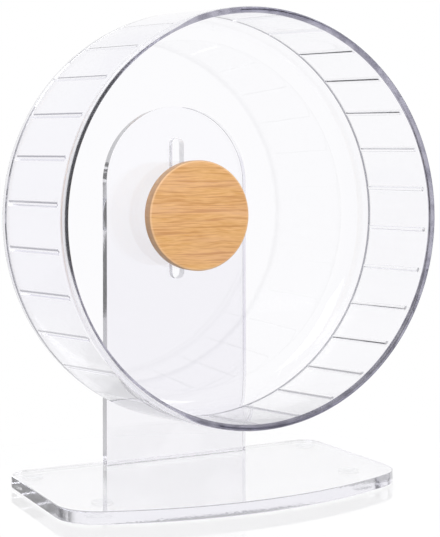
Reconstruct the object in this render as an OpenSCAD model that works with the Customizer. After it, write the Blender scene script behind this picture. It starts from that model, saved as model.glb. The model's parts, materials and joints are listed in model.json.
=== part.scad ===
// Clear running wheel for a hamster: a ribbed drum on two ball bearings,
// carried by a slotted acrylic upright on a bow-fronted base.
// Millimetres. +Z is up, the open side of the drum faces -Y and the floor is Z = 0.

/* [Base and upright] */
// Width of the base plate
base_w = 240; // [200:1:300]
// Depth of the base plate, from the front of its bow to its back edge
base_d = 146; // [120:1:200]
// Thickness of the base plate
base_t = 8; // [5:0.5:12]
// Radius of the bowed front edge
base_bow_r = 260; // [200:5:400]
// Radius of the two front corners
front_corner_r = 30; // [12:1:40]
// Radius of the two back corners
back_corner_r = 14; // [9:1:24]
// Width of the upright, whose top is a half circle
upright_w = 108; // [80:1:140]
// Thickness of the upright
upright_t = 8; // [5:0.5:12]
// Sheet left above the slot
upright_crown = 22; // [12:1:40]
// How far the slot reaches above the axle
slot_up = 54; // [20:1:70]
// How far the slot reaches below the axle
slot_down = 45; // [20:1:70]
// Side play of the axle in the slot
slot_play = 1; // [0.7:0.1:2]
// Diameter of a foot pad
pad_d = 14; // [8:0.5:17]
// Thickness of a foot pad
pad_t = 1; // [0.5:0.1:3]

/* [Drum] */
// Inside radius of the running track at its back end
track_r = 135.6; // [100:0.1:160]
// Length of the running track, from the front of the rim to the seam
track_len = 86; // [60:1:110]
// Wall of the drum
drum_wall = 2; // [1.9:0.1:3]
// Draft of the track wall, in degrees
track_draft = 4.4; // [0.5:0.1:6]
// Diameter of the round bead along the rim, flush with the outside of the wall
bead_d = 4.1; // [3:0.1:6]
// Radius of the fillet between the bead and the inside of the wall
bead_fillet = 2; // [1:0.1:4]
// Depth of the fine groove along the seam
seam_groove = 0.5; // [0.2:0.1:1]
// Straight depth of the dish behind the seam
dish_straight = 3; // [2:0.5:12]
// Radius of the round corner between the track and the back
dish_corner_r = 16; // [8:0.5:30]
// Gap between the drum and the base plate
floor_gap = 34.4; // [10:0.1:60]
// Number of rungs
rung_count = 30; // [12:1:40]
// Width of a rung
rung_w = 2.4; // [2:0.1:2.6]
// How far a rung stands proud of the track at its front end
rung_rise = 0.7; // [0.6:0.1:1.1]
// How much less a rung leans than the wall, so that it ends prouder at the seam, in degrees
rung_lean = 0.25; // [0.2:0.05:0.4]
// Distance from the front of the rim to the round end of a rung
rung_start = 10.3; // [9:0.1:30]
// Angle of the first rung above the horizontal, in degrees
rung_turn = 7.8; // [0:0.1:30]

/* [Hub] */
// Wall of the hub around the bearings
hub_wall = 5; // [3:0.1:8]
// Height of the boss in front of the dish, which carries the cap
hub_boss = 8.9; // [6:0.1:14]
// How far the hub runs past the rear bearing
hub_skirt = 0.5; // [0.2:0.1:1]
// Height of the shoulder between the two bearings
hub_shoulder = 2.4; // [1.5:0.1:3]
// Diameter of the flange that bonds the hub to the back of the dish
hub_flange_d = 48; // [42:0.5:60]
// Thickness of that flange
hub_flange_t = 2.5; // [2:0.1:4]
// Radius of the fillet between the flange and the hub
hub_fillet = 3; // [1:0.5:4]
// How far the front bearing stands in front of the inner face of the dish
bearing_proud = 3; // [0:0.1:8]

/* [Bearings] */
// Outside diameter of a bearing
bearing_d = 22; // [20:0.5:26]
// Width of a bearing
bearing_w = 7; // [6:0.1:9]
// Distance between the two bearings
bearing_gap = 3.5; // [2:0.1:8]
// Diameter of a ball
ball_d = 3.97; // [3.5:0.01:4.2]
// Number of balls in a bearing
ball_count = 7; // [5:1:8]
// Radial play of a ball in its groove
ball_play = 0.08; // [0.05:0.01:0.1]
// Radial distance between the shoulders of the two races
race_gap = 2.9; // [2.5:0.1:3.3]
// Play between the cage and each race
cage_play = 0.45; // [0.3:0.05:0.6]
// Thickness of a seal
seal_t = 0.5; // [0.3:0.05:0.6]
// Depth of the seat that holds a seal
seal_seat = 0.7; // [0.65:0.05:0.8]
// How far that seat cuts into the outer race
seal_lap = 0.65; // [0.4:0.05:0.9]

/* [Axle] */
// Diameter of the axle bolt
axle_d = 8; // [7:0.1:9]
// Diameter of the bolt's button head
head_d = 14; // [12:0.1:16]
// Height of the button head
head_h = 4.4; // [3:0.1:5.5]
// Width across flats of the key socket in the head
socket_w = 5; // [4:0.1:6]
// Depth of the key socket
socket_depth = 2.6; // [1.5:0.1:2.8]
// Thickness of the shim under the head
shim_t = 1.6; // [1:0.1:3]
// Diameter of the collar's flange against the upright
collar_d = 24; // [18:0.5:30]
// Thickness of the collar's flange
collar_t = 2.1; // [1.5:0.1:4]
// Length of the collar's nose, up to the rear bearing
collar_nose = 1.9; // [1.5:0.1:5]

/* [Clamp] */
// Diameter of the clamp washer
washer_d = 22; // [16:0.5:26]
// Thickness of the clamp washer
washer_t = 1.5; // [1:0.1:3]
// Diameter of the clamp knob
knob_d = 24; // [22:0.5:40]
// Thickness of the clamp knob
knob_t = 8; // [7.6:0.1:16]
// Number of grip flutes round the knob
flute_count = 12; // [6:1:20]
// Radius of a grip flute
flute_r = 1.8; // [1:0.1:2]
// Width across flats of the nut in the knob
nut_w = 13; // [12:0.1:14]
// Height of the nut in the knob
nut_h = 6.5; // [5:0.1:7]
// Length of bolt inside the knob
bolt_reach = 7.4; // [6:0.1:7.5]

/* [Cap] */
// Diameter of the bamboo cap
cap_d = 75.2; // [50:0.2:90]
// Thickness of the bamboo cap
cap_t = 8.4; // [6.5:0.1:14]
// Radius of the cap's softened front edge
cap_edge = 1.3; // [0.5:0.1:2.5]
// Diameter of the plug's flange, let into the back of the cap
plug_d = 28; // [25:0.5:40]
// Thickness of the plug's floor
plug_floor = 1.5; // [1:0.1:2]
// Wall of the plug's skirt
plug_wall = 1.75; // [1:0.05:2]
// How far the skirt reaches into the hub
plug_reach = 3.5; // [2:0.1:4]
// Room in front of the bolt head
head_room = 1.4; // [0.6:0.1:2]

/* [Hidden] */

$fn = 96;

// Radial play of pressed seats, snap seats, threads and loose holes
press_gap = 0.02;
snap_gap = 0.05;
thread_gap = 0.08;
loose_gap = 0.3;
// Play at the ends of the cage and round the inner edge of a seal
cage_end_gap = 0.2;
seal_gap = 0.15;

// Colours of the materials
clear_sheet = [0.93, 0.94, 0.97, 0.4];
clear_moulding = [0.95, 0.95, 0.98, 0.35];
clear_silicone = [0.9, 0.92, 0.94, 0.6];
bamboo = [0.86, 0.66, 0.4];
white_plastic = [0.9, 0.9, 0.88];
steel = [0.72, 0.73, 0.75];
nylon = [0.82, 0.8, 0.7];
seal_rubber = [0.15, 0.15, 0.16];
frosted_plastic = [0.85, 0.86, 0.88];

// Heights: the drum hangs over the base, and the upright is cut to suit the axle
drum_r = track_r + drum_wall;
base_top = pad_t + base_t;
axle_z = base_top + floor_gap + drum_r;
slot_w = axle_d + slot_play;
upright_top = axle_z + slot_up + upright_crown;

// Depths, worked forward from the back edge of the base, behind which the knob never reaches
base_back_y = base_d / 2;
upright_back_y = base_back_y - knob_t - washer_t;
upright_front_y = upright_back_y - upright_t;
collar_y = upright_front_y - collar_t - collar_nose;
rear_bearing_y = collar_y - bearing_w;
front_bearing_y = rear_bearing_y - bearing_gap - bearing_w;
dish_y = front_bearing_y + bearing_proud;
seam_y = dish_y - dish_corner_r - dish_straight;
rim_y = seam_y - track_len;
mouth_y = dish_y - hub_boss;
head_y = front_bearing_y - shim_t;
plug_y = head_y - head_h - head_room - plug_floor;
knob_y = upright_back_y + washer_t;

// Base outline: the bow's centre, and the centres of the corner rounds.
// A front round reaches past the bow by a hair, so that the two curves cross at one clear point.
bow_centre = [0, base_bow_r - base_d / 2];
corner_reach = 0.02;
front_corner_x = base_w / 2 - front_corner_r;
front_corner_from_bow = base_bow_r - front_corner_r + corner_reach;
front_corner = [front_corner_x, bow_centre.y - sqrt(pow(front_corner_from_bow, 2) - pow(front_corner_x, 2))];
back_corner = [base_w / 2 - back_corner_r, base_back_y - back_corner_r];

// Track wall: outwards across it, and along it to the seam
wall_normal = [cos(track_draft), -sin(track_draft)];
wall_run = [sin(track_draft), cos(track_draft)];
rung_r = rung_w / 2;
// Rim bead: the outside of the wall runs onto it, and a fillet leads from it to the inside
bead_r = bead_d / 2;
bead_touch_t = bead_r * (1 - sin(track_draft));
bead_touch = [track_radius_at(bead_touch_t) + drum_wall, bead_touch_t];
bead_centre = bead_touch - bead_r * wall_normal;
bead_inset = bead_r - drum_wall * cos(track_draft);
fillet_in = bead_fillet - bead_inset;
fillet_on = sqrt(pow(bead_r + bead_fillet, 2) - pow(fillet_in, 2));
fillet_centre = bead_centre - fillet_in * wall_normal + fillet_on * wall_run;
bead_leave = atan2(fillet_on, -fillet_in) - track_draft;
bead_steps = 24;
fillet_steps = 6;

// Bearing: the balls run midway between bore and outside
hub_bore_r = bearing_d / 2 + press_gap;
hub_r = hub_bore_r + hub_wall;
ball_circle_r = (axle_d + bearing_d) / 4;
inner_land_r = ball_circle_r - race_gap / 2;
outer_land_r = ball_circle_r + race_gap / 2;
seal_seat_r = outer_land_r + seal_lap;
groove_r = ball_d / 2 + ball_play;
sleeve_r = inner_land_r - seal_gap;

function heading(angle) = [cos(angle), sin(angle)];
function arc(centre, r, from, to, steps, first = 0) =
    [for (i = [first : steps]) centre + r * heading(from + (to - from) * i / steps)];
function track_radius_at(t) = track_r - (track_len - t) * tan(track_draft);

// Stands its children on the axle line, their z running back along +Y from the depth y
module on_axle(y) {
    translate([0, y, axle_z]) rotate([-90, 0, 0]) children();
}

module ring(inner_r, outer_r, height) {
    rotate_extrude() translate([inner_r, 0]) square([outer_r - inner_r, height]);
}

// The waste that a round of radius r takes off a corner, inside the four-sided field from its centre
module corner_waste(centre, r, side_a, tip, side_b) {
    difference() {
        polygon([centre, side_a, tip, side_b]);
        translate(centre) circle(r = r);
    }
}

module base_outline() {
    past_bow = front_corner + (front_corner - bow_centre) * 2 * front_corner_r / front_corner_from_bow;
    difference() {
        intersection() {
            square([base_w, base_d], center = true);
            translate(bow_centre) circle(r = base_bow_r, $fn = 192);
        }
        for (side = [0, 1]) mirror([side, 0]) {
            corner_waste(front_corner, front_corner_r, [base_w / 2, front_corner.y],
                [base_w / 2, past_bow.y], past_bow);
            corner_waste(back_corner, back_corner_r, [base_w / 2, back_corner.y],
                [base_w / 2, base_back_y], [back_corner.x, base_back_y]);
        }
    }
}

module base_plate() {
    color(clear_sheet) translate([0, 0, pad_t]) linear_extrude(base_t) base_outline();
}

module slot_outline() {
    end_up = slot_up - slot_w / 2;
    end_down = slot_down - slot_w / 2;
    translate([-slot_w / 2, -end_down]) square([slot_w, end_up + end_down]);
    translate([0, end_up]) circle(d = slot_w);
    translate([0, -end_down]) circle(d = slot_w);
}

module upright() {
    arch_z = upright_top - upright_w / 2;
    color(clear_sheet) translate([0, upright_back_y, 0]) rotate([90, 0, 0]) linear_extrude(upright_t)
        difference() {
            union() {
                translate([-upright_w / 2, base_top]) square([upright_w, arch_z - base_top]);
                translate([0, arch_z]) circle(d = upright_w);
            }
            translate([0, axle_z]) slot_outline();
        }
}

module foot_pads() {
    color(clear_silicone) for (side = [-1, 1], corner = [front_corner, back_corner])
        translate([side * corner.x, corner.y, 0]) cylinder(d = pad_d, h = pad_t);
}

// Section of the track wall: radius along x, distance from the front of the rim along y
module track_section() {
    groove_t = track_len - seam_groove;
    polygon(concat(
        [[track_radius_at(groove_t), groove_t], [track_r + seam_groove, track_len], [drum_r, track_len]],
        arc(bead_centre, bead_r, -track_draft, bead_leave - 360, bead_steps),
        arc(fillet_centre, bead_fillet, bead_leave - 180, -track_draft, fillet_steps, first = 1)));
}

module seam_cut() {
    polygon([[-seam_groove, -2 * seam_groove], [2 * seam_groove, seam_groove], [-seam_groove, seam_groove]]);
}

// A round bar with one dome end at z = 0
module rung_bar(length) {
    rotate_extrude($fn = 32) {
        intersection() {
            translate([0, rung_r]) circle(r = rung_r);
            square([rung_r, rung_r]);
        }
        translate([0, rung_r]) square([rung_r, length - rung_r]);
    }
}

module rungs() {
    sink = rung_r - rung_rise;
    start = [track_radius_at(rung_start), rung_start] + sink * wall_normal;
    difference() {
        for (i = [0 : rung_count - 1]) rotate([0, 0, -rung_turn - i * 360 / rung_count])
            translate([start.x, 0, start.y]) rotate([0, track_draft - rung_lean, 0]) rung_bar(track_len);
        translate([0, 0, track_len]) cylinder(r = 2 * drum_r, h = track_len);
    }
}

module track_ring() {
    color(clear_moulding) on_axle(rim_y) {
        rotate_extrude($fn = 192) track_section();
        rungs();
    }
}

// Section of the dish: radius along x, distance behind the seam along y
module dish_section() {
    corner_out_r = dish_corner_r + drum_wall;
    corner_x = track_r - dish_corner_r;
    hole_r = hub_r + press_gap;
    difference() {
        union() {
            translate([track_r, 0]) square([drum_wall, dish_straight]);
            translate([corner_x, dish_straight]) intersection() {
                difference() {
                    circle(r = corner_out_r);
                    circle(r = dish_corner_r);
                }
                square(corner_out_r);
            }
            translate([hole_r, dish_straight + dish_corner_r]) square([corner_x - hole_r, drum_wall]);
        }
        translate([track_r, 0]) mirror([0, 1]) seam_cut();
    }
}

module back_dish() {
    color(clear_moulding) on_axle(seam_y) rotate_extrude($fn = 192) dish_section();
}

// The corner round between flange and hub, lapped into both
module fillet_section() {
    lap = hub_fillet / 2;
    difference() {
        translate([-lap, -lap]) square(hub_fillet + lap);
        translate([hub_fillet, hub_fillet]) circle(r = hub_fillet);
    }
}

// Section of the hub: radius along x, distance behind its mouth along y
module hub_section() {
    rear = rear_bearing_y + bearing_w + hub_skirt - mouth_y;
    shoulder = front_bearing_y + bearing_w - mouth_y;
    flange = hub_boss + drum_wall;
    difference() {
        union() {
            square([hub_r, rear]);
            translate([0, flange]) square([hub_flange_d / 2, hub_flange_t]);
            translate([hub_r, flange + hub_flange_t]) fillet_section();
        }
        square([hub_bore_r, shoulder]);
        translate([0, shoulder]) square([hub_bore_r - hub_shoulder, bearing_gap]);
        translate([0, shoulder + bearing_gap]) square([hub_bore_r, rear - shoulder]);
    }
}

// Sleeve through the dish that holds the two bearings and takes the plug of the cap
module bearing_hub() {
    color(white_plastic) on_axle(mouth_y) rotate_extrude() hub_section();
}

module bamboo_cap() {
    recess = mouth_y - plug_y;
    color(bamboo) on_axle(mouth_y - cap_t) difference() {
        rotate_extrude() {
            translate([0, cap_edge]) square([cap_d / 2, cap_t - cap_edge]);
            square([cap_d / 2 - cap_edge, cap_edge]);
            translate([cap_d / 2 - cap_edge, cap_edge]) intersection() {
                circle(r = cap_edge);
                translate([0, -cap_edge]) square(cap_edge);
            }
        }
        translate([0, 0, cap_t - recess]) cylinder(d = plug_d + 2 * snap_gap, h = 2 * recess);
    }
}

// Cup glued into the cap: its skirt snaps into the mouth of the hub, round the bolt head
module cap_plug() {
    flange = mouth_y - plug_y;
    skirt_r = hub_bore_r - snap_gap;
    color(white_plastic) on_axle(plug_y) difference() {
        union() {
            cylinder(d = plug_d, h = flange);
            cylinder(r = skirt_r, h = flange + plug_reach);
        }
        translate([0, 0, plug_floor]) cylinder(r = skirt_r - plug_wall, h = flange + plug_reach);
    }
}

module outer_race() {
    color(steel) rotate_extrude() difference() {
        translate([outer_land_r, 0]) square([bearing_d / 2 - outer_land_r, bearing_w]);
        translate([ball_circle_r, bearing_w / 2]) circle(r = groove_r);
        for (z = [0, bearing_w - seal_seat]) translate([0, z]) square([seal_seat_r, seal_seat]);
    }
}

module inner_race() {
    bore_r = axle_d / 2 + press_gap;
    color(steel) rotate_extrude() difference() {
        translate([bore_r, 0]) square([inner_land_r - bore_r, bearing_w]);
        translate([ball_circle_r, bearing_w / 2]) circle(r = groove_r);
    }
}

module ball_ring(r) {
    for (i = [0 : ball_count - 1]) rotate([0, 0, i * 360 / ball_count])
        translate([ball_circle_r, 0, bearing_w / 2]) sphere(r = r, $fn = 48);
}

module balls() {
    color(steel) ball_ring(ball_d / 2);
}

// Crown cage, whose pockets are open on one side and snap over the balls
module ball_cage() {
    back = seal_seat + cage_end_gap;
    lips = bearing_w / 2 + ball_d / 4;
    color(nylon) difference() {
        translate([0, 0, back]) ring(inner_land_r + cage_play, outer_land_r - cage_play, lips - back);
        ball_ring(groove_r);
    }
}

module bearing_seals() {
    color(seal_rubber) for (z = [seal_seat - seal_t, bearing_w - seal_seat])
        translate([0, 0, z]) ring(inner_land_r + seal_gap, seal_seat_r - press_gap, seal_t);
}

module front_outer_race() { on_axle(front_bearing_y) outer_race(); }
module front_inner_race() { on_axle(front_bearing_y) inner_race(); }
module front_balls() { on_axle(front_bearing_y) balls(); }
module front_ball_cage() { on_axle(front_bearing_y) ball_cage(); }
module front_bearing_seals() { on_axle(front_bearing_y) bearing_seals(); }
module rear_outer_race() { on_axle(rear_bearing_y) outer_race(); }
module rear_inner_race() { on_axle(rear_bearing_y) inner_race(); }
module rear_balls() { on_axle(rear_bearing_y) balls(); }
module rear_ball_cage() { on_axle(rear_bearing_y) ball_cage(); }
module rear_bearing_seals() { on_axle(rear_bearing_y) bearing_seals(); }

module bearing_spacer() {
    color(steel) on_axle(rear_bearing_y - bearing_gap) ring(axle_d / 2 + press_gap, sleeve_r, bearing_gap);
}

// Button head, domed to the front, with a six-sided key socket
module bolt_head() {
    head_r = head_d / 2;
    dome_r = (head_r * head_r + head_h * head_h) / (2 * head_h);
    difference() {
        rotate_extrude() intersection() {
            translate([0, head_h - dome_r]) circle(r = dome_r);
            square([head_r, head_h]);
        }
        translate([0, 0, head_h - socket_depth])
            cylinder(d = socket_w / cos(30), h = 2 * socket_depth, $fn = 6);
    }
}

module axle_bolt() {
    length = knob_y + bolt_reach - head_y;
    tip = axle_d / 8;
    color(steel) on_axle(head_y) {
        mirror([0, 0, 1]) bolt_head();
        cylinder(d = axle_d, h = length - tip);
        translate([0, 0, length - tip]) cylinder(d1 = axle_d, d2 = axle_d - 2 * tip, h = tip);
    }
}

module bolt_shim() {
    color(steel) on_axle(head_y) ring(axle_d / 2 + press_gap, sleeve_r, shim_t);
}

module axle_collar() {
    bore_r = axle_d / 2 + press_gap;
    color(steel) on_axle(collar_y) {
        ring(bore_r, sleeve_r, collar_nose);
        translate([0, 0, collar_nose]) ring(bore_r, collar_d / 2, collar_t);
    }
}

module clamp_washer() {
    color(steel) on_axle(upright_back_y) ring(axle_d / 2 + loose_gap, washer_d / 2, washer_t);
}

module clamp_knob() {
    bevel = flute_r / 2;
    edge_r = knob_d / 2;
    color(frosted_plastic) on_axle(knob_y) difference() {
        rotate_extrude() polygon([[0, 0], [edge_r - bevel, 0], [edge_r, bevel], [edge_r, knob_t - bevel],
            [edge_r - bevel, knob_t], [0, knob_t]]);
        for (i = [0 : flute_count - 1]) rotate([0, 0, i * 360 / flute_count])
            translate([edge_r + flute_r / 2, 0, -knob_t]) cylinder(r = flute_r, h = 3 * knob_t, $fn = 24);
        translate([0, 0, -nut_h]) cylinder(d = (nut_w + 2 * snap_gap) / cos(30), h = 2 * nut_h, $fn = 6);
        translate([0, 0, -knob_t]) cylinder(r = axle_d / 2 + loose_gap, h = 3 * knob_t);
    }
}

module knob_nut() {
    color(steel) on_axle(knob_y) difference() {
        cylinder(d = nut_w / cos(30), h = nut_h, $fn = 6);
        translate([0, 0, -nut_h]) cylinder(r = axle_d / 2 + thread_gap, h = 3 * nut_h);
    }
}

base_plate();
upright();
foot_pads();
track_ring();
back_dish();
bearing_hub();
bamboo_cap();
cap_plug();
front_outer_race();
front_inner_race();
front_balls();
front_ball_cage();
front_bearing_seals();
rear_outer_race();
rear_inner_race();
rear_balls();
rear_ball_cage();
rear_bearing_seals();
bearing_spacer();
axle_bolt();
bolt_shim();
axle_collar();
clamp_washer();
clamp_knob();
knob_nut();
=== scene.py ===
import json
import math

import bmesh
import bpy
from mathutils import Matrix, Vector


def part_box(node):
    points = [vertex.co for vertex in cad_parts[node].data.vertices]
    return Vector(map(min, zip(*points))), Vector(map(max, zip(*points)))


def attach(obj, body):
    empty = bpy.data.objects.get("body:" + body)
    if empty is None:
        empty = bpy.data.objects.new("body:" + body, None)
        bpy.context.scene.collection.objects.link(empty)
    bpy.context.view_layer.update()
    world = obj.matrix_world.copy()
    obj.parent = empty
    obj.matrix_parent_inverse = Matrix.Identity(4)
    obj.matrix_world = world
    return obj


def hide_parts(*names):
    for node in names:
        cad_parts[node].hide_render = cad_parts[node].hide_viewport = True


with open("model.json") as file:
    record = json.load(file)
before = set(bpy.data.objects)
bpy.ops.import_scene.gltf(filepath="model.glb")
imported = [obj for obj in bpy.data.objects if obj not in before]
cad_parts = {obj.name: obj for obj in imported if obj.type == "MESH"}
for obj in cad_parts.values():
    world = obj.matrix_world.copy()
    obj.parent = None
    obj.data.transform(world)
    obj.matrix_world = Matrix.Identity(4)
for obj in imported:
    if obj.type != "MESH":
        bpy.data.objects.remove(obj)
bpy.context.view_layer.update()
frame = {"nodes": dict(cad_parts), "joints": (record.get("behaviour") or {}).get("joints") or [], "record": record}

# Sizes in metres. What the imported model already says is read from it.
MM = 0.001
RING_LOW, RING_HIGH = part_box("track_ring")
BASE_LOW, BASE_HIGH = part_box("base_plate")
UPRIGHT_LOW, UPRIGHT_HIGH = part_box("upright")
CAP_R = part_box("bamboo_cap")[1].x
AXLE_Z = next(j["pos_m"][2] for j in frame["joints"] if j["name"] == "wheel_spin")

# The drum: a track wall with a round rim, and a dish behind the seam
DRUM_R = RING_HIGH.x
DRUM_WALL = 2 * MM
TRACK_R = DRUM_R - DRUM_WALL
LIP_Y = RING_LOW.y
SEAM_Y = RING_HIGH.y
TRACK_LEN = SEAM_Y - LIP_Y
TRACK_DRAFT = math.radians(4.4)
BEAD_R = 2.05 * MM
BEAD_FILLET = 2 * MM
SEAM_GROOVE = 0.5 * MM
SEAM_GAP = 0.03 * MM
DISH_STRAIGHT = 3 * MM
DISH_CORNER_R = 16 * MM
HUB_HOLE_R = 16.04 * MM
BEAD_STEPS = 36
FILLET_STEPS = 10
DISH_OUTER_STEPS = 40
DISH_INNER_STEPS = 36

# The rungs on the track. Their back ends run out more gently than their front ends.
RUNG_COUNT = 30
RUNG_HALF_W = 1.7 * MM
RUNG_FLAT = 0.4 * MM
RUNG_RISE = 0.9 * MM
RUNG_START = 9.9 * MM
RUNG_END = TRACK_LEN - 0.8 * MM
RUNG_TURN = math.radians(7.8)
RUN_OUT = 2
END_ROWS = 15
END_ROW_STEP = 0.2 * MM
ROWS_BEFORE_END = 2
MIDDLE_ROWS = 11
TRACK_COLUMNS = 30
TRACK_GATHER = 0.78
GATHER_POWER = 4.0
DISH_COLUMNS = 10

# The two sheets, and the hair of air between the upright and what touches it
BASE_BOW_R = 260 * MM
FRONT_CORNER_R = 30 * MM
BACK_CORNER_R = 14 * MM
SLOT_W = 9 * MM
SLOT_UP = 54 * MM
SLOT_DOWN = 45 * MM
SHEET_EDGE = 0.45 * MM
BOND_GAP = 0.04 * MM
BOW_STEPS = 64
FRONT_CORNER_STEPS = 24
BACK_CORNER_STEPS = 20
ARCH_STEPS = 96
SLOT_STEPS = 32
EDGE_STEPS = 3

# Limits for shading, for joining points, and for telling a cut edge from the face of a sheet
MOULDED_CREASE = math.radians(35)
SHEET_CREASE = math.radians(50)
SEAM_WELD = 0.001 * MM
POINT_WELD = 0.0005 * MM
CUT_COSINE = 0.5

# Clear plastic. The bounces say after how many reflections inside a wall light leaks out of it.
ACRYLIC_IOR = 1.49
ACRYLIC_TINT = (0.40, 0.38, 0.62, 1)
DRUM_DENSITY = 8.0
SHEET_DENSITY = 1.2
MANY_BOUNCES = 3.5
FEW_BOUNCES = 1.5
LEAK_TONE = (0.97, 0.97, 0.98, 1)
DRUM_TONE = (0.982, 0.98, 0.994, 1)
SEAM_TONE = (0.20, 0.20, 0.23, 1)
SHEET_TONE = (0.992, 0.99, 1.0, 1)
# Painted reflection: the upright is painted a slight grey towards its foot, full below FOOT_FULL and fading out up
# to FOOT_TOP.
FOOT_REFLECTION_TONE = (0.925, 0.918, 0.945, 1)
FOOT_TOP = 220 * MM
FOOT_FULL = 130 * MM
FOOT_FADE = 2 * MM
SEAM_HALF = 0.6 * MM
SEAM_FADE = 0.5 * MM
SCRATCH_ROUGHNESS = 0.05
CLEAR_RIM_ROUGHNESS = 0.35
SLOT_ROUGHNESS = 0.7
DRUM_WAVE = 0.012 * MM
DRUM_WAVE_SCALE = 45.0
EDGE_RIPPLE = 0.035 * MM
RIPPLE_SCALE = 700.0
UPRIGHT_RIPPLE = 0.4

# Painted shade and reflection along the rim: its tones, and how far it reaches over the crown of the bead
RIM_SHADE_DARK = (0.09, 0.085, 0.125, 1)
RIM_SHADE_LIGHT = (0.22, 0.21, 0.28, 1)
RIM_SHADE_INSIDE = (0.012, 0.012, 0.016, 1)
RIM_SHADE_REACH = 1.1 * MM
RIM_SHADE_UPPER_LEFT = 0.0
RIM_SHADE_LOWER_LEFT = -0.8 * MM
RIM_SHADE_INWARD = 0.96
RIM_SHADE_FORWARD = 0.27
RIM_SHADE_SCALE = 90.0
RIM_SHADE_END = 4.4 * MM
RIM_SHADE_FULL = 3.6 * MM

# Bamboo
BAMBOO_HONEY = (0.645, 0.33, 0.095, 1)
BAMBOO_BLUSH = (0.69, 0.38, 0.19, 1)
BAMBOO_FIBRE = (0.765, 0.445, 0.19, 1)
BAMBOO_STREAK = (0.555, 0.262, 0.08, 1)
BAMBOO_VEIN = (0.50, 0.214, 0.075, 1)
# Painted highlight on the cap's front edge, and painted shade on its side
BAMBOO_EDGE_HIGHLIGHT = (0.88, 0.64, 0.42, 1)
BAMBOO_SIDE_SHADE = (0.28, 0.142, 0.065, 1)
BAMBOO_LEAN = (0, 0.09, 0)
BAMBOO_SWAY = 2.5 * MM
SWAY_SCALE = 40.0
VEIN_SHARE = 0.6
EDGE_HIGHLIGHT_SHARE = 0.35
SIDE_SHADE_SHARE = 0.62
DULL_FIBRE = 0.5
GLOSSY_FIBRE = 0.34
FIBRE_DEPTH = 0.06 * MM

# Clouds and grain of moulded pieces and steel, and hair scratches in three directions
CLOUD_SCALE = 60.0
STEEL_CLOUD_SCALE = 150.0
GRAIN_SCALE = 2500.0
HAIR_SCALE = 120.0
MOULDED_SPREAD = 0.05
STEEL_POLISH = 0.06
STEEL_DULLING = 0.1
HAIR_TURNS = ((0.3, 0.2, 0.1), (1.2, 0.7, 2.0), (2.2, 1.9, 0.8))
HAIR_STRETCH = (1, 25, 25)
HAIR_DEPTH = 0.004 * MM

# The studio
WHITE = (1, 1, 1, 1)
SIDE_TONE = (0.88, 0.87, 0.92, 1)
FLOOR_TONE = (0.94, 0.94, 0.95, 1)
FLOOR_SIZE = 2.4
FLOOR_IOR = 1.4
FLOOR_ROUGHNESS = 0.03
STUDIO_LIGHT = 0.8
PANEL_SCALE = 34.0
PANEL_TURN = (0, 0, 0.3)
PANEL_DARK = 0.01
PANEL_BRIGHT = 0.8
TRAPPED_FLOOR = 0.5
NEAR_GLOW = 0.82
LAMP_AIM = Vector((0, 0, 0.15))

# The photograph's camera
PHOTO_W = 440
PHOTO_H = 537
CAMERA_AT = Vector((-0.38020, -0.74672, 0.20302))
CAMERA_YAW = math.radians(27.548)
CAMERA_PITCH = math.radians(0.262)
CAMERA_ROLL = math.radians(-0.102)
FOCAL_PX = 1260.77
CENTRE_PX = (226.08, 188.89)
SENSOR = 36.0


class Tree:
    """Short calls that add nodes to a node tree."""

    def __init__(self, tree):
        self.tree = tree

    def feed(self, socket, value):
        if isinstance(value, bpy.types.NodeSocket):
            self.tree.links.new(value, socket)
        else:
            socket.default_value = value

    def add(self, kind, inputs=None, **settings):
        node = self.tree.nodes.new(kind)
        for name, value in settings.items():
            setattr(node, name, value)
        for name, value in (inputs or {}).items():
            self.feed(node.inputs[name], value)
        return node

    def math(self, operation, *values):
        node = self.add("ShaderNodeMath", operation=operation)
        for socket, value in zip(node.inputs, values):
            self.feed(socket, value)
        return node.outputs[0]

    def length(self, across, along):
        """Length of a flat step with these two parts."""
        squares = [self.math("MULTIPLY", part, part) for part in (across, along)]
        return self.math("SQRT", self.math("ADD", *squares))

    def split(self, vector):
        return self.add("ShaderNodeSeparateXYZ", {"Vector": vector}).outputs


# Meshes

def arc(centre, radius, start, end, steps):
    """Points of an arc round a centre, both ends included, angles in radians."""
    turns = [start + (end - start) * i / steps for i in range(steps + 1)]
    return [(centre[0] + radius * math.cos(a), centre[1] + radius * math.sin(a)) for a in turns]


def track_radius_at(depth):
    """Radius of the running face at a depth behind the front of the rim."""
    return TRACK_R - (TRACK_LEN - depth) * math.tan(TRACK_DRAFT)


def bead_centre():
    """Centre of the round rim: radius, and depth behind the front of the rim."""
    touch = BEAD_R * (1 - math.sin(TRACK_DRAFT))
    outside = Vector((track_radius_at(touch) + DRUM_WALL, touch))
    return outside - BEAD_R * Vector((math.cos(TRACK_DRAFT), -math.sin(TRACK_DRAFT)))


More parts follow.
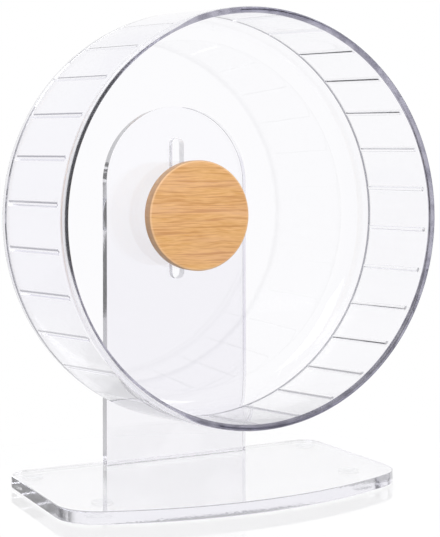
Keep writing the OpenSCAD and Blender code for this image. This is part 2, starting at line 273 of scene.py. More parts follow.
def track_profile():
    """Closed section of the track wall: radius, depth behind the rim, and 1 on the running face."""
    outward = Vector((math.cos(TRACK_DRAFT), -math.sin(TRACK_DRAFT)))
    along = Vector((math.sin(TRACK_DRAFT), math.cos(TRACK_DRAFT)))
    # The outside of the wall runs onto the bead, and a fillet leads from it to the inside.
    bead = bead_centre()
    inset = BEAD_FILLET - BEAD_R + DRUM_WALL * math.cos(TRACK_DRAFT)
    reach = math.sqrt((BEAD_R + BEAD_FILLET) ** 2 - inset ** 2)
    fillet = bead - outward * inset + along * reach
    leave = math.atan2(reach, -inset) - TRACK_DRAFT
    end = TRACK_LEN - SEAM_GAP
    groove = TRACK_LEN - SEAM_GROOVE
    outer = [(DRUM_R, end)]
    outer += arc(bead, BEAD_R, -TRACK_DRAFT, leave - math.tau, BEAD_STEPS)
    outer += arc(fillet, BEAD_FILLET, leave - math.pi, -TRACK_DRAFT, FILLET_STEPS)[1:]
    # Rows gather at both ends of the rungs.
    steps = [END_ROW_STEP * (i - ROWS_BEFORE_END) for i in range(END_ROWS)]
    front = [RUNG_START + step for step in steps]
    back = [RUNG_END - RUN_OUT * step for step in reversed(steps)]
    back = [depth for depth in back if depth < groove]
    gap = (back[0] - front[-1]) / (MIDDLE_ROWS + 1)
    middle = [front[-1] + gap * (i + 1) for i in range(MIDDLE_ROWS)]
    inner = [(track_radius_at(depth), depth) for depth in front + middle + back + [groove]]
    inner.append((TRACK_R + SEAM_GROOVE - SEAM_GAP, end))
    return [(r, depth, 0.0) for r, depth in outer] + [(r, depth, 1.0) for r, depth in inner]


def dish_profile():
    """Closed section of the back dish: radius, depth behind the seam, and 0 because it has no rungs."""
    corner = (TRACK_R - DISH_CORNER_R, DISH_STRAIGHT)
    outer_r = DISH_CORNER_R + DRUM_WALL
    points = [(DRUM_R, SEAM_GAP)]
    points += arc(corner, outer_r, 0, math.pi / 2, DISH_OUTER_STEPS)
    points += [(HUB_HOLE_R, DISH_STRAIGHT + outer_r), (HUB_HOLE_R, DISH_STRAIGHT + DISH_CORNER_R)]
    points += arc(corner, DISH_CORNER_R, math.pi / 2, 0, DISH_INNER_STEPS)
    points += [(TRACK_R, SEAM_GROOVE), (TRACK_R + SEAM_GROOVE, SEAM_GAP)]
    return [(r, depth, 0.0) for r, depth in points]


def turned_wall_tree():
    """Geometry nodes that turn a closed section round the axle and raise rungs on its running face."""
    group = bpy.data.node_groups.new("turned_wall", "GeometryNodeTree")
    sizes = (
        "Gather", "Rung half width", "Rung flat", "Rung rise", "Rung start", "Rung end", "First rung",
        "Front", "Axle height",
    )
    sockets = {"Geometry": "Geometry", "Rungs": "Int", "Columns": "Int"}
    sockets.update({name: "Float" for name in sizes})
    sockets["Material"] = "Material"
    for name, kind in sockets.items():
        group.interface.new_socket(name, in_out="INPUT", socket_type="NodeSocket" + kind)
    group.interface.new_socket("Geometry", in_out="OUTPUT", socket_type="NodeSocketGeometry")

    t = Tree(group)
    given = t.add("NodeGroupInput").outputs
    counted = t.add("GeometryNodeAttributeDomainSize", {"Geometry": given["Geometry"]})
    rows = counted.outputs["Point Count"]
    columns = t.math("MULTIPLY", given["Rungs"], given["Columns"])
    grid_rows = t.math("ADD", rows, 1)
    grid_columns = t.math("ADD", columns, 1)
    grid = t.add("GeometryNodeMeshGrid", {"Vertices X": grid_columns, "Vertices Y": grid_rows})
    index = t.add("GeometryNodeInputIndex").outputs[0]
    column = t.math("FLOOR", t.math("DIVIDE", t.math("ADD", index, 0.5), grid_rows))
    row = t.math("MODULO", t.math("MODULO", index, grid_rows), rows)

    def section(value, data_type):
        inputs = {"Geometry": given["Geometry"], "Value": value, "Index": row}
        node = t.add("GeometryNodeSampleIndex", inputs, data_type=data_type, domain="POINT")
        return node.outputs["Value"]

    place = t.split(section(t.add("GeometryNodeInputPosition").outputs[0], "FLOAT_VECTOR"))
    radius, depth = place["X"], place["Y"]
    flag = t.add("GeometryNodeInputNamedAttribute", {"Name": "running_face"}, data_type="FLOAT")
    running = section(flag.outputs[0], "FLOAT")

    # Columns gather at the rungs, whose flanks need them.
    share = t.math("DIVIDE", column, given["Columns"])
    rung = t.math("ROUND", share)
    phase = t.math("SUBTRACT", share, rung)
    spread = t.math("POWER", t.math("MULTIPLY", phase, 2.0), GATHER_POWER)
    widen = t.math("MULTIPLY", t.math("SUBTRACT", spread, 1.0), given["Gather"])
    drawn = t.math("MULTIPLY", phase, t.math("ADD", widen, 1.0))
    pitch = t.math("DIVIDE", math.tau, given["Rungs"])
    turn = t.math("MULTIPLY", t.math("ADD", rung, drawn), pitch)
    angle = t.math("ADD", turn, given["First rung"])

    # Height of the rung: a flat crown, soft flanks and round ends
    across = t.math("MULTIPLY", t.math("MULTIPLY", drawn, pitch), radius)
    front_end = t.math("ADD", given["Rung start"], given["Rung half width"])
    back_length = t.math("MULTIPLY", given["Rung half width"], RUN_OUT)
    back_end = t.math("SUBTRACT", given["Rung end"], back_length)
    run_out = t.math("MULTIPLY", t.math("SUBTRACT", depth, back_end), 1 / RUN_OUT)
    short = t.math("MAXIMUM", t.math("SUBTRACT", front_end, depth), run_out)
    off = t.length(across, t.math("MAXIMUM", short, 0.0))
    rise = t.add("ShaderNodeMapRange", {
        "Value": off, "From Min": given["Rung flat"], "From Max": given["Rung half width"],
        "To Min": given["Rung rise"], "To Max": 0.0,
    }, interpolation_type="SMOOTHSTEP").outputs[0]
    final = t.math("SUBTRACT", radius, t.math("MULTIPLY", rise, running))

    height = t.math("MULTIPLY", final, t.math("SINE", angle))
    spot = t.add("ShaderNodeCombineXYZ", {
        "X": t.math("MULTIPLY", final, t.math("COSINE", angle)),
        "Y": t.math("ADD", depth, given["Front"]),
        "Z": t.math("ADD", height, given["Axle height"]),
    }).outputs[0]
    mesh = grid.outputs["Mesh"]
    for kind, inputs in (
        ("GeometryNodeSetPosition", {"Position": spot}),
        ("GeometryNodeMergeByDistance", {"Distance": SEAM_WELD}),
        ("GeometryNodeRealizeInstances", {}),
        ("GeometryNodeSetMaterial", {"Material": given["Material"]}),
    ):
        mesh = t.add(kind, {"Geometry": mesh, **inputs}).outputs[0]
    t.add("NodeGroupOutput", {"Geometry": mesh})
    return group


def shade(mesh, crease):
    """Smooth shading, with edges sharper than the crease left sharp and all faces pointing outwards."""
    work = bmesh.new()
    work.from_mesh(mesh)
    bmesh.ops.remove_doubles(work, verts=work.verts, dist=POINT_WELD)
    bmesh.ops.recalc_face_normals(work, faces=work.faces)
    for edge in work.edges:
        edge.smooth = len(edge.link_faces) != 2 or edge.calc_face_angle(0.0) < crease
    for polygon in work.faces:
        polygon.smooth = True
    work.to_mesh(mesh)
    work.free()


def add_object(name, data):
    piece = bpy.data.objects.new(name, data)
    bpy.context.scene.collection.objects.link(piece)
    return piece


def baked(piece, name):
    """The piece with its modifiers made into a plain mesh, under a new name."""
    graph = bpy.context.evaluated_depsgraph_get()
    mesh = bpy.data.meshes.new_from_object(piece.evaluated_get(graph))
    mesh.name = name
    bpy.data.objects.remove(piece)
    return add_object(name, mesh)


def turned(name, profile, tree, front, columns, gather, material):
    """A piece turned round the axle from a closed section."""
    mesh = bpy.data.meshes.new(name + "_section")
    mesh.from_pydata([(r, depth, 0) for r, depth, running in profile], [], [])
    mark = mesh.attributes.new("running_face", "FLOAT", "POINT")
    mark.data.foreach_set("value", [running for r, depth, running in profile])
    piece = add_object(name + "_section", mesh)
    modifier = piece.modifiers.new("turned_wall", "NODES")
    modifier.node_group = tree
    values = {
        "Rungs": RUNG_COUNT, "Columns": columns, "Gather": gather, "Rung half width": RUNG_HALF_W,
        "Rung flat": RUNG_FLAT, "Rung rise": RUNG_RISE, "Rung start": RUNG_START, "Rung end": RUNG_END,
        "First rung": RUNG_TURN, "Front": front, "Axle height": AXLE_Z, "Material": material,
    }
    for item in tree.interface.items_tree:
        if item.in_out == "INPUT" and item.name in values:
            modifier[item.identifier] = values[item.name]
    piece = baked(piece, name)
    shade(piece.data, MOULDED_CREASE)
    return piece


def base_loop():
    """Outline of the base plate seen from above, anticlockwise from the left end of the bow."""
    half_w = BASE_HIGH.x - SHEET_EDGE
    front = BASE_LOW.y + SHEET_EDGE
    back = BASE_HIGH.y - SHEET_EDGE
    bow_r = BASE_BOW_R - SHEET_EDGE
    corner_r = FRONT_CORNER_R - SHEET_EDGE
    back_r = BACK_CORNER_R - SHEET_EDGE
    bow = (0.0, front + bow_r)
    corner_x = half_w - corner_r
    corner_y = bow[1] - math.sqrt((bow_r - corner_r) ** 2 - corner_x ** 2)
    swing = math.asin(corner_x / (bow_r - corner_r))
    down = -math.pi / 2
    back_x, back_y = half_w - back_r, back - back_r
    loop = arc(bow, bow_r, down - swing, down + swing, BOW_STEPS)
    loop += arc((corner_x, corner_y), corner_r, down + swing, 0, FRONT_CORNER_STEPS)[1:]
    loop += arc((back_x, back_y), back_r, 0, math.pi / 2, BACK_CORNER_STEPS)
    loop += arc((-back_x, back_y), back_r, math.pi / 2, math.pi, BACK_CORNER_STEPS)
    end = 2 * math.pi + down - swing
    loop += arc((-corner_x, corner_y), corner_r, math.pi, end, FRONT_CORNER_STEPS)[:-1]
    return loop


def upright_loops():
    """Outline of the upright and of its slot, seen from the front: x, then height."""
    half_w = UPRIGHT_HIGH.x - SHEET_EDGE
    arch = UPRIGHT_HIGH.z - UPRIGHT_HIGH.x
    foot = UPRIGHT_LOW.z + BOND_GAP + SHEET_EDGE
    outline = [(-half_w, foot), (half_w, foot)] + arc((0, arch), half_w, 0, math.pi, ARCH_STEPS)
    slot_r = SLOT_W / 2 + SHEET_EDGE
    top = AXLE_Z + SLOT_UP - SLOT_W / 2
    bottom = AXLE_Z - SLOT_DOWN + SLOT_W / 2
    slot = arc((0, top), slot_r, 0, math.pi, SLOT_STEPS)
    slot += arc((0, bottom), slot_r, math.pi, math.tau, SLOT_STEPS)
    return [outline, slot]


def sheet(name, loops, thickness, place, material):
    """A flat sheet with polished round edges, from outlines that lie within its faces."""
    curve = bpy.data.curves.new(name + "_outline", "CURVE")
    curve.dimensions = "2D"
    curve.fill_mode = "BOTH"
    curve.extrude = thickness / 2 - SHEET_EDGE
    curve.bevel_depth = SHEET_EDGE
    curve.bevel_resolution = EDGE_STEPS
    for loop in loops:
        spline = curve.splines.new("POLY")
        spline.points.add(len(loop) - 1)
        for point, (x, y) in zip(spline.points, loop):
            point.co = (x, y, 0, 1)
        spline.use_cyclic_u = True
    piece = baked(add_object(name + "_outline", curve), name)
    piece.data.transform(place)
    shade(piece.data, SHEET_CREASE)
    even = piece.modifiers.new("even_faces", "WEIGHTED_NORMAL")
    even.weight = 100
    even.keep_sharp = True
    piece = baked(piece, name)
    mark_edges(piece.data, place.to_3x3() @ Vector((0, 0, 1)))
    piece.data.materials.clear()
    piece.data.materials.append(material)
    return piece


def mark_edges(mesh, across):
    """Marks the faces of a sheet that lie in its cut edges, and those in the wall of the slot."""
    cut_edge = []
    slot_wall = []
    for face in mesh.polygons:
        cut = abs(face.normal.dot(across)) < CUT_COSINE
        inside = abs(face.center.x) < SLOT_W and face.center.z > BASE_HIGH.z
        cut_edge.append(float(cut))
        slot_wall.append(float(cut and inside))
    for label, values in (("cut_edge", cut_edge), ("slot_wall", slot_wall)):
        mesh.attributes.new(label, "FLOAT", "FACE").data.foreach_set("value", values)


# Parts of materials

def new_material(name):
    material = bpy.data.materials.new(name)
    material.use_nodes = True
    material.node_tree.nodes.clear()
    return material, Tree(material.node_tree)


def object_place(t):
    return t.add("ShaderNodeTexCoord").outputs["Object"]


def axle_distance(t, axis):
    """Distance from the axle, from split Object coordinates."""
    return t.length(axis["X"], t.math("SUBTRACT", axis["Z"], AXLE_Z))


def ramp(t, value, low, high):
    """0 at the low value, 1 at the high one and the same beyond, with a soft step between them."""
    node = t.add("ShaderNodeMapRange", {"Value": value, "From Min": low, "From Max": high})
    node.interpolation_type = "SMOOTHSTEP"
    return node.outputs[0]


def blended(t, share, first, second):
    """A colour between two, by a share from 0 to 1."""
    node = t.add("ShaderNodeMix", data_type="RGBA")
    t.feed(node.inputs["Factor"], share)
    for socket, color in zip([s for s in node.inputs if s.type == "RGBA"], (first, second)):
        t.feed(socket, color)
    return next(s for s in node.outputs if s.type == "RGBA")


def mixed(t, share, first, second):
    """A shader between two, by a share from 0 to 1."""
    node = t.add("ShaderNodeMixShader")
    for socket, value in zip(node.inputs, (share, first.outputs[0], second.outputs[0])):
        t.feed(socket, value)
    return node


def between(t, share, low, high):
    """A value between two, by a share from 0 to 1."""
    return t.math("MULTIPLY_ADD", share, high - low, low)


def noise(t, place, scale, detail=2.0, stretch=(1, 1, 1), turn=(0, 0, 0)):
    """Cloudy noise from 0 to 1, finer along an axis with a larger stretch."""
    moved = t.add("ShaderNodeMapping", {"Vector": place, "Scale": stretch, "Rotation": turn})
    cloud = t.add("ShaderNodeTexNoise", {"Vector": moved.outputs[0], "Scale": scale, "Detail": detail})
    return cloud.outputs["Fac"]


def bumped(t, height, distance):
    return t.add("ShaderNodeBump", {"Height": height, "Distance": distance}).outputs[0]


def shader_group(name, inputs, outputs):
    """A group of shader nodes with named values going in and out."""
    group = bpy.data.node_groups.new(name, "ShaderNodeTree")
    for label, value in inputs.items():
        socket = group.interface.new_socket(label, in_out="INPUT", socket_type="NodeSocketFloat")
        socket.default_value = value
    for label in outputs:
        group.interface.new_socket(label, in_out="OUTPUT", socket_type="NodeSocketFloat")
    t = Tree(group)
    return group, t, t.add("NodeGroupInput").outputs


def grouped(t, group, **values):
    """A group placed in a material, with its own values."""
    node = t.add("ShaderNodeGroup", node_tree=group)
    for label, value in values.items():
        node.inputs[label.replace("_", " ").capitalize()].default_value = value
    return node.outputs


def build_moulded_grain():
    """Uneven tone in soft clouds, and the fine texture that a mould leaves."""
    scales = {"Cloud scale": CLOUD_SCALE, "Grain scale": GRAIN_SCALE}
    group, t, given = shader_group("moulded_grain", scales, ("Tone", "Height"))
    place = object_place(t)
    cloud = noise(t, place, given["Cloud scale"], detail=3.0)
    grain = noise(t, place, given["Grain scale"])
    t.add("NodeGroupOutput", {"Tone": ramp(t, cloud, 0.3, 0.7), "Height": grain})
    return group


def build_handling_marks():
    """Hair scratches in three directions, from 0 on clean surface to 1 in a scratch."""
    group, t, given = shader_group("handling_marks", {"Scale": HAIR_SCALE}, ("Scratches",))
    place = object_place(t)
    found = 0.0
    for turn in HAIR_TURNS:
        hair = noise(t, place, given["Scale"], detail=1.0, stretch=HAIR_STRETCH, turn=turn)
        found = t.math("MAXIMUM", found, ramp(t, hair, 0.66, 0.74))
    t.add("NodeGroupOutput", {"Scratches": found})
    return group


def reflections(t):
    """How many times a ray has been reflected, inside clear pieces too."""
    return t.add("ShaderNodeLightPath").outputs["Glossy Depth"]


# Materials

def clear_surface(t, color, roughness, normal, bounces):
    """Clear acrylic. Light that reflects inside a wall more often than the bounces leaks out of it."""
    surface = t.add("ShaderNodeBsdfPrincipled", {
        "Base Color": color, "Roughness": roughness, "IOR": ACRYLIC_IOR, "Transmission Weight": 1.0,
        "Normal": normal,
    })
    trapped = t.math("GREATER_THAN", reflections(t), bounces)
    shadow = t.add("ShaderNodeLightPath").outputs["Is Shadow Ray"]
    pass_through = t.add("ShaderNodeBsdfTransparent", {"Color": LEAK_TONE})
    return mixed(t, t.math("MAXIMUM", shadow, trapped), surface, pass_through)


def clear_output(t, surface, density):
    """The material's output, with the faint tint of the plastic's depth."""
    tint = t.add("ShaderNodeVolumeAbsorption", {"Color": ACRYLIC_TINT, "Density": density})
    t.add("ShaderNodeOutputMaterial", {"Surface": surface.outputs[0], "Volume": tint.outputs[0]})


def scratched(t, mask, matt):
    """Roughness of clear plastic: hair scratches all over, and matt where the mask is 1."""
    hair = between(t, grouped(t, MARKS)["Scratches"], 0.0, SCRATCH_ROUGHNESS)
    return t.math("MAXIMUM", hair, t.math("MULTIPLY", mask, matt))


def outer_face(t, axis, radius):
    """1 on the outside of the drum and all over the dish, 0 on the inside of the track wall."""
    draft = t.math("MULTIPLY", t.math("SUBTRACT", axis["Y"], SEAM_Y), math.tan(TRACK_DRAFT))
    outside = t.math("GREATER_THAN", t.math("SUBTRACT", radius, draft), TRACK_R + DRUM_WALL / 2)
    return t.math("MAXIMUM", outside, t.math("GREATER_THAN", axis["Y"], SEAM_Y))


def painted_rim_shade(t, place, axis, radius, plain):
    """The plain colour with painted shade and reflection along the bead, and a mask of the part of the bead that
    stays clear.
    """
    left = t.math("MULTIPLY", axis["X"], -1.0)
    up = t.math("SUBTRACT", axis["Z"], AXLE_Z)
    thin = ramp(t, left, 0.30 * DRUM_R, 0.45 * DRUM_R)
    upper = ramp(t, up, -0.35 * DRUM_R, -0.10 * DRUM_R)
    # Painted reflection: the bead is painted darkest over its upper left stretch.
    dark = t.math("MULTIPLY", upper, ramp(t, left, 0.50 * DRUM_R, 0.75 * DRUM_R))
    # The painted shade covers most of the bead, its inner half at the upper left, and less at the lower left.
    narrow = between(t, dark, RIM_SHADE_LOWER_LEFT, RIM_SHADE_UPPER_LEFT)
    reach = t.math("MULTIPLY_ADD", thin, t.math("SUBTRACT", narrow, RIM_SHADE_REACH), RIM_SHADE_REACH)
    centre = bead_centre()
    inward = t.math("SUBTRACT", centre[0], radius)
    forward = t.math("SUBTRACT", LIP_Y + centre[1], axis["Y"])
    facing = t.math("MULTIPLY_ADD", forward, RIM_SHADE_FORWARD, t.math("MULTIPLY", inward, RIM_SHADE_INWARD))
    covered = ramp(t, t.math("ADD", facing, reach), -0.5 * MM, 0.2 * MM)
    near_rim = ramp(t, axis["Y"], LIP_Y + RIM_SHADE_END, LIP_Y + RIM_SHADE_FULL)
    rim_shade_share = t.math("MULTIPLY", near_rim, covered)
    shade_patches = ramp(t, noise(t, place, RIM_SHADE_SCALE, detail=3.0), 0.40, 0.62)
    rim_shade_tone = blended(t, dark, blended(t, shade_patches, RIM_SHADE_DARK, RIM_SHADE_LIGHT), RIM_SHADE_INSIDE)
    # Painted shade: the inner back of the bead is painted near black.
    behind = ramp(t, forward, -0.4 * MM, -1.2 * MM)
    color = blended(t, rim_shade_share, plain, blended(t, behind, rim_shade_tone, RIM_SHADE_INSIDE))
    return color, t.math("SUBTRACT", near_rim, rim_shade_share)


def clear_moulding():
    """The drum's clear plastic, a little wavy, with painted shade and reflection along its rim and a dark line
    along its seam.
    """
    material, t = new_material("clear_moulding")
    place = object_place(t)
    axis = t.split(place)
    radius = axle_distance(t, axis)
    off_seam = t.math("ABSOLUTE", t.math("SUBTRACT", axis["Y"], SEAM_Y))
    plain = blended(t, ramp(t, off_seam, SEAM_HALF, SEAM_HALF + SEAM_FADE), SEAM_TONE, DRUM_TONE)
    # Painted shade and reflection along the bead, darkest at the upper left.
    color, clear_rim = painted_rim_shade(t, place, axis, radius, plain)
    normal = bumped(t, grouped(t, GRAIN, cloud_scale=DRUM_WAVE_SCALE)["Tone"], DRUM_WAVE)
    roughness = scratched(t, clear_rim, CLEAR_RIM_ROUGHNESS)
    # Light caught in the wall leaks outwards, so the wall stays clear where it is seen at a low angle.
    bounces = between(t, outer_face(t, axis, radius), MANY_BOUNCES, FEW_BOUNCES)
    clear_output(t, clear_surface(t, color, roughness, normal, bounces), DRUM_DENSITY)
    return material


def clear_sheet():
    """Clear sheet: finely rippled cut edges, a matt slot, and a painted reflection that greys the upright towards
    its foot.
    """
    material, t = new_material("clear_sheet")
    place = object_place(t)
    height = t.split(place)["Z"]
    edge = t.add("ShaderNodeAttribute", attribute_name="cut_edge").outputs["Fac"]
    slot = t.add("ShaderNodeAttribute", attribute_name="slot_wall").outputs["Fac"]
    ripple = t.math("MULTIPLY", noise(t, place, RIPPLE_SCALE), edge)
    calmer = between(t, t.math("GREATER_THAN", height, BASE_HIGH.z), 1.0, UPRIGHT_RIPPLE)
    normal = bumped(t, t.math("MULTIPLY", ripple, calmer), EDGE_RIPPLE)
    # Painted reflection: a slight grey on the upright towards its foot, above the base.
    above_base = ramp(t, height, BASE_HIGH.z, BASE_HIGH.z + FOOT_FADE)
    foot = t.math("MULTIPLY", ramp(t, height, FOOT_TOP, FOOT_FULL), above_base)
    color = blended(t, foot, SHEET_TONE, FOOT_REFLECTION_TONE)
    roughness = scratched(t, slot, SLOT_ROUGHNESS)
    clear_output(t, clear_surface(t, color, roughness, normal, MANY_BOUNCES), SHEET_DENSITY)
    return material


def bamboo():
    """Varnished bamboo: long level fibres in warm honey tones, a painted highlight along the front edge, and
    painted shade on the turned side.
    """
    material, t = new_material("bamboo")
    place = object_place(t)
    axis = t.split(place)
    level = t.math("MULTIPLY_ADD", noise(t, place, SWAY_SCALE), BAMBOO_SWAY, axis["Z"])
    laid = t.add("ShaderNodeCombineXYZ", {"X": axis["X"], "Y": axis["Y"], "Z": level}).outputs[0]

    def grain(scale, detail, fineness):
        return noise(t, laid, scale, detail, stretch=(1, 1, fineness), turn=BAMBOO_LEAN)

    streak = grain(scale=34.0, detail=5.0, fineness=24)
    fibre = grain(scale=110.0, detail=2.0, fineness=16)
    strip = grain(scale=14.0, detail=1.0, fineness=10)
    vein = grain(scale=17.0, detail=3.0, fineness=30)
    warm = blended(t, ramp(t, strip, 0.35, 0.65), BAMBOO_HONEY, BAMBOO_BLUSH)
    light = blended(t, ramp(t, fibre, 0.3, 0.7), warm, BAMBOO_FIBRE)
    grained = blended(t, ramp(t, streak, 0.28, 0.56), BAMBOO_STREAK, light)
    veined = t.math("MULTIPLY", ramp(t, vein, 0.56, 0.66), VEIN_SHARE)
    wood = blended(t, veined, grained, BAMBOO_VEIN)
    # The front edge has a pale painted highlight, and the side behind it is painted darker as shade.
    out = axle_distance(t, axis)
    # Painted highlight: a pale ring along the front edge.
    edge_highlight = t.math("MULTIPLY", ramp(t, out, CAP_R - 1.8 * MM, CAP_R - 0.8 * MM), EDGE_HIGHLIGHT_SHARE)
    # Painted shade: the turned side is painted darker.
    side = t.math("MULTIPLY", ramp(t, out, CAP_R - 0.5 * MM, CAP_R - 0.05 * MM), SIDE_SHADE_SHARE)
    color = blended(t, side, blended(t, edge_highlight, wood, BAMBOO_EDGE_HIGHLIGHT), BAMBOO_SIDE_SHADE)
    surface = t.add("ShaderNodeBsdfPrincipled", {
        "Base Color": color, "Roughness": between(t, fibre, DULL_FIBRE, GLOSSY_FIBRE),
        "Normal": bumped(t, fibre, FIBRE_DEPTH),
    })
    t.add("ShaderNodeOutputMaterial", {"Surface": surface.outputs[0]})
    return material


def moulded(name, dark, light, roughness, grain_scale, grain_depth, transmission=0.0):
    """A moulded plastic or rubber, uneven in tone and finely grained."""
    material, t = new_material(name)
    grain = grouped(t, GRAIN, grain_scale=grain_scale)
    surface = t.add("ShaderNodeBsdfPrincipled", {
        "Base Color": blended(t, grain["Tone"], (*dark, 1), (*light, 1)),
        "Roughness": between(t, grain["Tone"], roughness + MOULDED_SPREAD, roughness - MOULDED_SPREAD),
        "Transmission Weight": transmission,
        "Normal": bumped(t, grain["Height"], grain_depth),
    })
    t.add("ShaderNodeOutputMaterial", {"Surface": surface.outputs[0]})
    return material


def metal(name, dark, light, roughness, mark_scale):
    """Steel with clouds in its finish and hair scratches."""
    material, t = new_material(name)
    clouds = grouped(t, GRAIN, cloud_scale=STEEL_CLOUD_SCALE)["Tone"]
    scratches = grouped(t, MARKS, scale=mark_scale)["Scratches"]
    dull = t.math("MAXIMUM", scratches, clouds)
    surface = t.add("ShaderNodeBsdfPrincipled", {
        "Base Color": blended(t, clouds, (*dark, 1), (*light, 1)),
        "Metallic": 1.0,
        "Roughness": between(t, dull, roughness - STEEL_POLISH, roughness + STEEL_DULLING),
        "Normal": bumped(t, scratches, HAIR_DEPTH),
    })
    t.add("ShaderNodeOutputMaterial", {"Surface": surface.outputs[0]})
    return material


# Stage

def seen_directly(t):
    """1 for rays that look at the surroundings, also in a mirror or through glass."""
    path = t.add("ShaderNodeLightPath").outputs
    indirect = t.math("MAXIMUM", path["Is Glossy Ray"], path["Is Transmission Ray"])
    return t.math("MAXIMUM", path["Is Camera Ray"], indirect)


def reflected_at_least(t, times):
    """1 for rays that have been reflected so many times or more."""
    return t.math("GREATER_THAN", reflections(t), times - 0.5)


def trapped_light(t):
    """1 for rays that come out of a clear piece after two or more reflections inside it."""
    return reflected_at_least(t, 2)


def studio_white(t, left):
    """White, but a pale lavender towards the left of the studio for rays that a surface has mirrored."""
    return blended(t, t.math("MULTIPLY", reflected_at_least(t, 1), left), WHITE, SIDE_TONE)


def build_world():
    """A white studio. Light caught inside the clear pieces sees its dark and bright panels."""
    world = bpy.data.worlds.new("studio")
    world.use_nodes = True
    world.node_tree.nodes.clear()
    t = Tree(world.node_tree)
    way = t.add("ShaderNodeTexCoord").outputs["Generated"]
    heading = t.split(way)
    # No panels hang on the backdrop, overhead and high up towards the back.
    backdrop = ramp(t, heading["Y"], 0.65, 0.85)
    overhead = ramp(t, heading["Z"], 0.15, 0.45)
    high_back = t.math("MULTIPLY", ramp(t, heading["Y"], 0.3, 0.6), ramp(t, heading["Z"], 0.16, 0.22))
    plain = t.math("MAXIMUM", t.math("MAXIMUM", backdrop, overhead), high_back)
    panels = ramp(t, noise(t, way, PANEL_SCALE, detail=1.0, turn=PANEL_TURN), 0.50, 0.58)
    bright = t.math("MAXIMUM", plain, between(t, panels, PANEL_DARK, PANEL_BRIGHT))
    dimmed = t.math("MULTIPLY", trapped_light(t), t.math("SUBTRACT", 1.0, bright))
    light = t.add("ShaderNodeBackground", {"Color": WHITE, "Strength": STUDIO_LIGHT})
    seen = t.add("ShaderNodeBackground", {
        "Color": studio_white(t, ramp(t, heading["X"], 0.0, -0.6)),
        "Strength": t.math("SUBTRACT", 1.0, dimmed),
    })
    studio = mixed(t, seen_directly(t), light, seen)
    t.add("ShaderNodeOutputWorld", {"Surface": studio.outputs[0]})
    bpy.context.scene.world = world


def floor_white():
    """Glossy white that shows shadows near the object and fades into the backdrop."""
    material, t = new_material("floor_white")
    place = object_place(t)
    away = t.add("ShaderNodeVectorMath", {0: place}, operation="LENGTH").outputs["Value"]
    lit = t.add("ShaderNodeBsdfDiffuse", {"Color": FLOOR_TONE})
    glow = t.add("ShaderNodeEmission", {
        "Color": studio_white(t, ramp(t, t.split(place)["X"], -0.1, -0.3)),
        "Strength": t.math("SUBTRACT", 1.0, t.math("MULTIPLY", trapped_light(t), 1.0 - TRAPPED_FLOOR)),
    })
    share = between(t, ramp(t, away, 0.15, 0.45), NEAR_GLOW, 1.0)
    ground = mixed(t, t.math("MULTIPLY", seen_directly(t), share), lit, glow)
    gloss = t.add("ShaderNodeBsdfGlossy", {"Color": WHITE, "Roughness": FLOOR_ROUGHNESS})
    near = t.math("SUBTRACT", 1.0, ramp(t, away, 0.25, 0.5))
    first = t.math("SUBTRACT", 1.0, reflected_at_least(t, 1))
    fresnel = t.add("ShaderNodeFresnel", {"IOR": FLOOR_IOR}).outputs[0]
    mirror = t.math("MULTIPLY", fresnel, t.math("MULTIPLY", near, first))
    polished = mixed(t, mirror, ground, gloss)
    t.add("ShaderNodeOutputMaterial", {"Surface": polished.outputs[0]})
    return material


def build_floor():
    mesh = bpy.data.meshes.new("floor")
    half = FLOOR_SIZE / 2
    corners = [(-half, -half, 0), (half, -half, 0), (half, half, 0), (-half, half, 0)]
    mesh.from_pydata(corners, [], [(0, 1, 2, 3)])
    mesh.materials.append(floor_white())
    add_object("floor", mesh)


def add_lamp(name, place, size, power):
    """A square soft lamp that looks at the middle of the object."""
    lamp = bpy.data.lights.new(name, "AREA")
    lamp.shape = "SQUARE"
    lamp.size = size
    lamp.energy = power
    item = add_object(name, lamp)
    item.location = place
    item.rotation_euler = (LAMP_AIM - Vector(place)).to_track_quat("-Z", "Y").to_euler()


def build_camera():
    long_side = max(PHOTO_W, PHOTO_H)
    data = bpy.data.cameras.new("photo_camera")
    data.sensor_width = SENSOR
    data.lens = FOCAL_PX * SENSOR / long_side
    data.shift_x = (PHOTO_W / 2 - CENTRE_PX[0]) / long_side
    data.shift_y = (CENTRE_PX[1] - PHOTO_H / 2) / long_side
    camera = add_object("photo_camera", data)
    tilt = Matrix.Rotation(math.pi / 2 - CAMERA_PITCH, 4, "X") @ Matrix.Rotation(CAMERA_ROLL, 4, "Z")
    camera.matrix_world = Matrix.Translation(CAMERA_AT) @ Matrix.Rotation(-CAMERA_YAW, 4, "Z") @ tilt
    bpy.context.scene.camera = camera


bpy.context.scene.view_settings.view_transform = "Standard"
build_camera()
build_world()
build_floor()
add_lamp("soft_key", place=(-0.9, -0.9, 1.5), size=1.2, power=12)
add_lamp("soft_fill", place=(1.2, -0.6, 1.0), size=1.0, power=5)

GRAIN = build_moulded_grain()
MARKS = build_handling_marks()
MOULDING = clear_moulding()
SHEET = clear_sheet()

wall_tree = turned_wall_tree()
for name, profile, front, columns, gather in (
    ("track_ring", track_profile(), LIP_Y, TRACK_COLUMNS, TRACK_GATHER),
    ("back_dish", dish_profile(), SEAM_Y, DISH_COLUMNS, 0.0),
):
    piece = turned(name + "_clear", profile, wall_tree, front, columns, gather, MOULDING)
    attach(piece, "wheel")
    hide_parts(name)

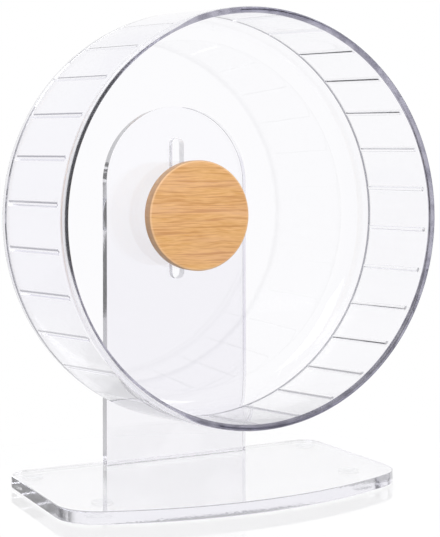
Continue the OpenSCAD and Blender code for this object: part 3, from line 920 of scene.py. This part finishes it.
base_place = Matrix.Translation((0, 0, (BASE_LOW.z + BASE_HIGH.z) / 2))
upright_place = Matrix.Translation((0, (UPRIGHT_LOW.y + UPRIGHT_HIGH.y) / 2, 0))
upright_place = upright_place @ Matrix.Rotation(math.pi / 2, 4, "X")
for name, loops, thickness, place in (
    ("base_plate", [base_loop()], BASE_HIGH.z - BASE_LOW.z, base_place),
    ("upright", upright_loops(), UPRIGHT_HIGH.y - UPRIGHT_LOW.y - 2 * BOND_GAP, upright_place),
):
    piece = sheet(name + "_clear", loops, thickness, place, SHEET)
    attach(piece, "stand")
    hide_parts(name)

FINISHES = {
    "bamboo": bamboo(),
    "white_plastic": moulded(
        "white_plastic", dark=(0.74, 0.74, 0.72), light=(0.80, 0.80, 0.78),
        roughness=0.35, grain_scale=2500, grain_depth=0.01 * MM,
    ),
    "bearing_steel": metal(
        "bearing_steel", dark=(0.55, 0.55, 0.56), light=(0.64, 0.64, 0.65),
        roughness=0.20, mark_scale=500,
    ),
    "cage_nylon": moulded(
        "cage_nylon", dark=(0.60, 0.56, 0.42), light=(0.70, 0.66, 0.52),
        roughness=0.45, grain_scale=4000, grain_depth=0.01 * MM,
    ),
    "seal_rubber": moulded(
        "seal_rubber", dark=(0.016, 0.016, 0.017), light=(0.028, 0.028, 0.03),
        roughness=0.55, grain_scale=5000, grain_depth=0.02 * MM,
    ),
    "zinc_steel": metal(
        "zinc_steel", dark=(0.56, 0.57, 0.60), light=(0.68, 0.68, 0.68),
        roughness=0.32, mark_scale=400,
    ),
    "knob_plastic": moulded(
        "knob_plastic", dark=(0.78, 0.80, 0.84), light=(0.86, 0.88, 0.91),
        roughness=0.38, grain_scale=3000, grain_depth=0.01 * MM, transmission=0.6,
    ),
    "clear_silicone": moulded(
        "clear_silicone", dark=(0.92, 0.93, 0.95), light=(0.97, 0.97, 0.98),
        roughness=0.2, grain_scale=2000, grain_depth=0.01 * MM, transmission=0.95,
    ),
}
for part in frame["record"]["subparts"]:
    if part["material_slot"] in FINISHES:
        mesh = frame["nodes"][part["node"]].data
        mesh.materials.clear()
        mesh.materials.append(FINISHES[part["material_slot"]])
